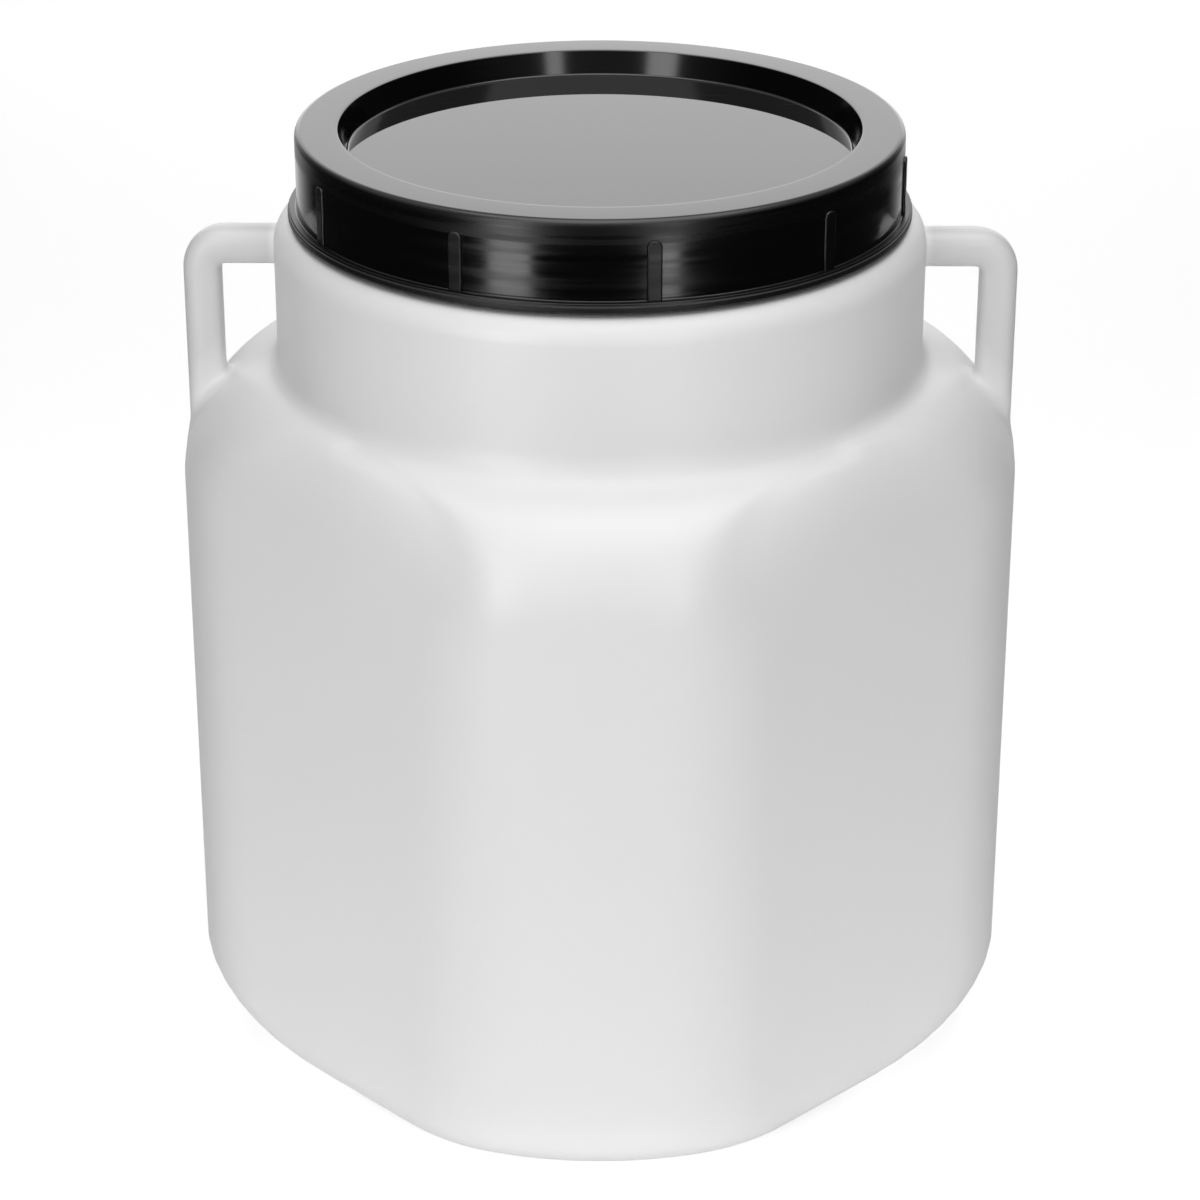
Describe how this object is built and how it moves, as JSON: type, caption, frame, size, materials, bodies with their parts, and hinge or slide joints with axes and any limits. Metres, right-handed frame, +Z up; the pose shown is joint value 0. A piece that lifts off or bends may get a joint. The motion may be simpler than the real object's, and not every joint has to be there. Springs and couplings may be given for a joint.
{
  "type": "screw-lid fermentation barrel",
  "caption": "White plastic barrel with rounded corners, flats between them, a wide screw-on black lid with a seal, and moulded-on loop handles.",
  "frame": {"origin": "middle of the base, on the floor the barrel stands on", "axes": "+Z up along the barrel's axis, X through the two handles, -Y towards the front"},
  "size_m": [0.3544, 0.3544, 0.4195],
  "materials": {
    "barrel_plastic": "natural white blow-moulded polyethylene, satin and a little translucent",
    "lid_plastic": "black injection-moulded polypropylene, glossy with fine handling marks",
    "gasket_rubber": "smooth pale grey moulded seal"
  },
  "bodies": {
    "barrel": {"barrel": "barrel_plastic"},
    "gasket": {"lid_gasket": "gasket_rubber"},
    "lid": {"screw_lid": "lid_plastic"}
  },
  "joints": [
    {"name": "lid_lift", "type": "slide", "parent": "barrel", "child": "gasket", "axis": [0, 0, 1], "range_m": [0, 0.04]},
    {"name": "lid_turn", "type": "hinge", "parent": "gasket", "child": "lid", "pos_m": [0, 0, 0.4], "axis": [0, 0, 1], "range_deg": [0, 900]}
  ],
  "couplings": [
    {"joint": "lid_lift", "follows": "lid_turn", "m_per_rad": 0.0025464}
  ]
}
